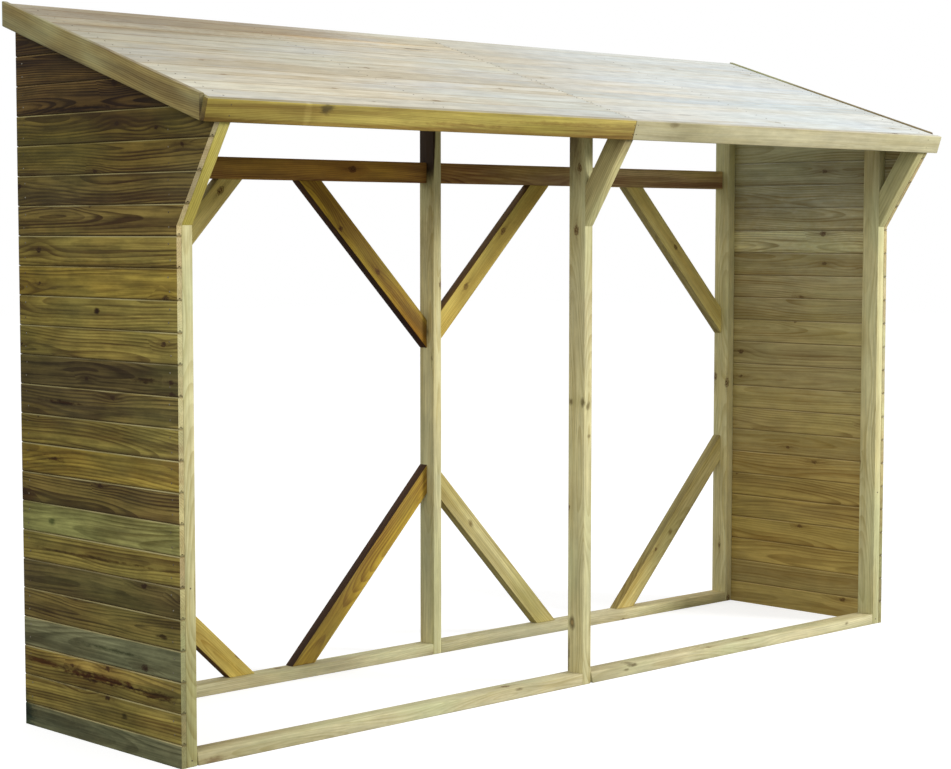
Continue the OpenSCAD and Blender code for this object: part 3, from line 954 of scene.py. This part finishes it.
def makeTimber(node, wood, slotName, seed):
    piece = copyNode(node, plainName(node))
    if node in wedges:
        low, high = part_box(node)
        cutWedge(piece, Vector((low.x + wedgeInset, 0, high.z)), wedges[node])
    timberWood(piece, woods[wood], seed, timberMarks.get(node, ()))
    useModifier(piece, "BEVEL", width=timbers["edge"], segments=timbers["edgeSteps"],
                limit_method="ANGLE", angle_limit=timbers["sharp"])
    pick(piece)
    bpy.ops.object.shade_smooth_by_angle(angle=timbers["smooth"])
    finishPiece(piece, slotName, node)


for slotName, groups in timberSets.items():
    members = [(node, wood) for wood, group in groups for node in group]
    for i, (node, wood) in enumerate(members):
        seed = timbers["firstSeed"] + timbers["seedStep"] * i + len(slotName)
        makeTimber(node, wood, slotName, seed)
    print(slotName, "made:", len(members))


nails = {"radius": 0.003, "depth": 0.003, "rim": 0.0007, "proud": 0.0006, "sides": 8,
         "smooth": math.radians(60), "inset": 0.0003, "aside": 0.006, "off": 0.003,
         "wall": (0.026, 0.068), "wallTop": 0.08, "wallRows": 26,
         "roof": (0.024, 0.07), "roofAside": 0.004, "roofRows": 11}
screws = {"fromTop": 0.037, "fromFront": 0.0315, "pair": (-0.016, 0.016),
          "fascia": (-1.712, -0.006, 0.012, 1.712), "posts": (-1.712, 1.712), "heights": (0.535, 0.02)}


def makeNail():
    # a nail's head, facing up, with a rounded rim
    pickNothing()
    bpy.ops.mesh.primitive_cylinder_add(vertices=nails["sides"], radius=nails["radius"],
                                        depth=nails["depth"])
    nail = bpy.context.object
    useModifier(nail, "BEVEL", width=nails["rim"], segments=1, limit_method="ANGLE")
    return nail


def nailMaterial():
    material, t, shader, here = newMaterial("nailHeads")
    tarnish = step(t, noise(t, here, 40.0, 3.0), 0.35, 0.65)
    t.links.new(mixColour(t, tarnish, rgb(128, 122, 108), rgb(84, 70, 52)), shader.inputs["Base Color"])
    t.links.new(step(t, tarnish, 0.0, 1.0, 0.45, 0.75), shader.inputs["Roughness"])
    shader.inputs["Metallic"].default_value = 0.7
    return material


def nailRows(name, spots, facing, slotName):
    # heads at these spots on a face that looks this way, all in one piece
    turn = Vector((0, 0, 1)).rotation_difference(Vector(facing)).to_matrix().to_4x4()
    heads = []
    for i, spot in enumerate(spots):
        head = addCopy(nailMaster, f"{name}{i}")
        sunk = Vector(spot) + Vector(facing) * (nails["proud"] - nails["depth"] / 2)
        head.data.transform(Matrix.Translation(sunk) @ turn)
        heads.append(head)
    piece = joined(heads, name)
    piece.data.materials.clear()
    piece.data.materials.append(nailsMaterial)
    pick(piece)
    bpy.ops.object.shade_smooth_by_angle(angle=nails["smooth"])
    finishPiece(piece, slotName)


def wallNails(side, x, facing, rng):
    # two to a board on every post, as far up as the wall reaches there
    spots = []
    for post in ("left_front_post", "left_rear_post"):
        low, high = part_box(post)
        y = (low.y + high.y) / 2
        top = high.z - nails["wallTop"]
        for i in range(1, nails["wallRows"]):
            for rise in nails["wall"]:
                z = wallBoards[side + "Start"] + i * wallBoards["cover"] + rise
                if z < top:
                    aside = rng.uniform(-nails["aside"], nails["aside"])
                    spots.append((x, y + aside, z + rng.uniform(-nails["off"], nails["off"])))
    nailRows(side + "WallNails", spots, facing, "wall_boards")


def roofNails(name, rafters, rng):
    low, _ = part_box("left_roof_boards")
    edge = Vector((0, low.y, low.z + roofBoards["thick"] * math.cos(roofPitch)))
    spots = []
    for rafter, offset in rafters:
        near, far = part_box(rafter)
        x = (near.x + far.x) / 2 + offset
        for i in range(nails["roofRows"]):
            for rise in nails["roof"]:
                along = i * roofBoards["cover"] + rise + rng.uniform(-nails["off"], nails["off"])
                across = Vector((x + rng.uniform(-nails["roofAside"], nails["roofAside"]), 0, 0))
                spots.append(edge + roofClimb * along - roofNormal * nails["inset"] + across)
    nailRows(name, spots, roofNormal, "roof_boards")


def frontScrews():
    # pairs of screws through the fascias into the struts, and two screws in each outer post
    post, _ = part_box("left_front_post")
    _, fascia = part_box("left_fascia")
    face = Vector((0, fascia.y - screws["fromFront"], fascia.z - screws["fromTop"]))
    spots = [face + Vector((x, 0, 0)) + roofNormal * rise
             for x in screws["fascia"] for rise in screws["pair"]]
    nailRows("fasciaScrews", spots, -roofClimb, "trim_boards")
    spots = [(x, post.y, z) for x in screws["posts"] for z in screws["heights"]]
    nailRows("postScrews", spots, (0, -1, 0), "post_timber")


nailMaster = makeNail()
nailsMaterial = nailMaterial()
nailRandom = random.Random(21)
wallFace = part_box("right_wall")[1].x - nails["inset"]
wallNails("left", -wallFace, (-1, 0, 0), nailRandom)
wallNails("right", wallFace, (1, 0, 0), nailRandom)
# each rafter with how far its nails stand to one side, to clear the seam over the middle one
leftRafters = [("left_rafter", 0), ("left_bay_rafter", 0), ("middle_rafter", -0.01)]
rightRafters = [("middle_rafter", 0.01), ("right_bay_rafter", 0), ("right_rafter", 0)]
roofNails("leftRoofNails", leftRafters, nailRandom)
roofNails("rightRoofNails", rightRafters, nailRandom)
frontScrews()
remove(nailMaster)
print("nails driven")


studio = {"floorSize": 60, "floorWhite": (0.5, 0.5, 0.5, 1), "floorGlow": 0.7,
          "floorDull": (0.3, 0.3, 0.28, 1), "world": 0.66,
          "keyPlace": (5.5, -7.5, 4.6), "keySize": 3.0, "keyPower": 680,
          "fillPlace": (-8, -2.5, 4), "fillSize": 5.0, "fillPower": 250}


def makeFloor():
    # looks white to the camera, but lights the store no more than dull ground would
    pickNothing()
    bpy.ops.mesh.primitive_plane_add(size=studio["floorSize"])
    floor = bpy.context.object
    floor.name = "floor"
    material = bpy.data.materials.new("floor")
    material.use_nodes = True
    t = material.node_tree
    t.nodes.clear()
    white = addNode(t, "BsdfDiffuse", studio["floorWhite"]).outputs[0]
    glow = addNode(t, "Emission", None, studio["floorGlow"]).outputs[0]
    both = addNode(t, "AddShader", white, glow).outputs[0]
    dull = addNode(t, "BsdfDiffuse", studio["floorDull"]).outputs[0]
    seen = addNode(t, "LightPath").outputs["Is Camera Ray"]
    addNode(t, "OutputMaterial", addNode(t, "MixShader", seen, dull, both).outputs[0])
    floor.data.materials.append(material)


def makeWorld():
    world = bpy.data.worlds.new("studio")
    bpy.context.scene.world = world
    world.use_nodes = True
    t = world.node_tree
    background = t.nodes["Background"]
    background.inputs["Color"].default_value = (1, 1, 1, 1)
    seen = addNode(t, "LightPath")
    bright = calc(t, "MAXIMUM", seen.outputs["Is Camera Ray"],
                  calc(t, "MAXIMUM", seen.outputs["Is Glossy Ray"], studio["world"]))
    t.links.new(bright, background.inputs["Strength"])


def addLamp(name, spot, size, power, target=(0, 0, 1)):
    light = bpy.data.lights.new(name, "AREA")
    light.shape = "DISK"
    light.size = size
    light.energy = power
    lamp = bpy.data.objects.new(name, light)
    lamp.location = spot
    lamp.rotation_euler = (Vector(spot) - Vector(target)).to_track_quat("Z", "Y").to_euler()
    bpy.context.scene.collection.objects.link(lamp)


makeFloor()
makeWorld()
for kind in ("key", "fill"):
    addLamp(kind + "Lamp", studio[kind + "Place"], studio[kind + "Size"], studio[kind + "Power"])
bpy.context.scene.view_settings.view_transform = "Standard"

camera = {"lens": 82.3, "sensor": 36, "place": (-5.517, -5.442, 1.5825), "turn": 43.77, "tilt": -4.46,
          "shift": (0.0131, 0.0176)}


def makeCamera():
    data = bpy.data.cameras.new("camera")
    data.lens = camera["lens"]
    data.sensor_width = camera["sensor"]
    data.shift_x, data.shift_y = camera["shift"]
    seat = bpy.data.objects.new("camera", data)
    seat.location = camera["place"]
    seat.rotation_euler = (math.radians(90 + camera["tilt"]), 0, -math.radians(camera["turn"]))
    bpy.context.scene.collection.objects.link(seat)
    bpy.context.scene.camera = seat


makeCamera()
print("floor, lights and camera placed")
pickNothing()
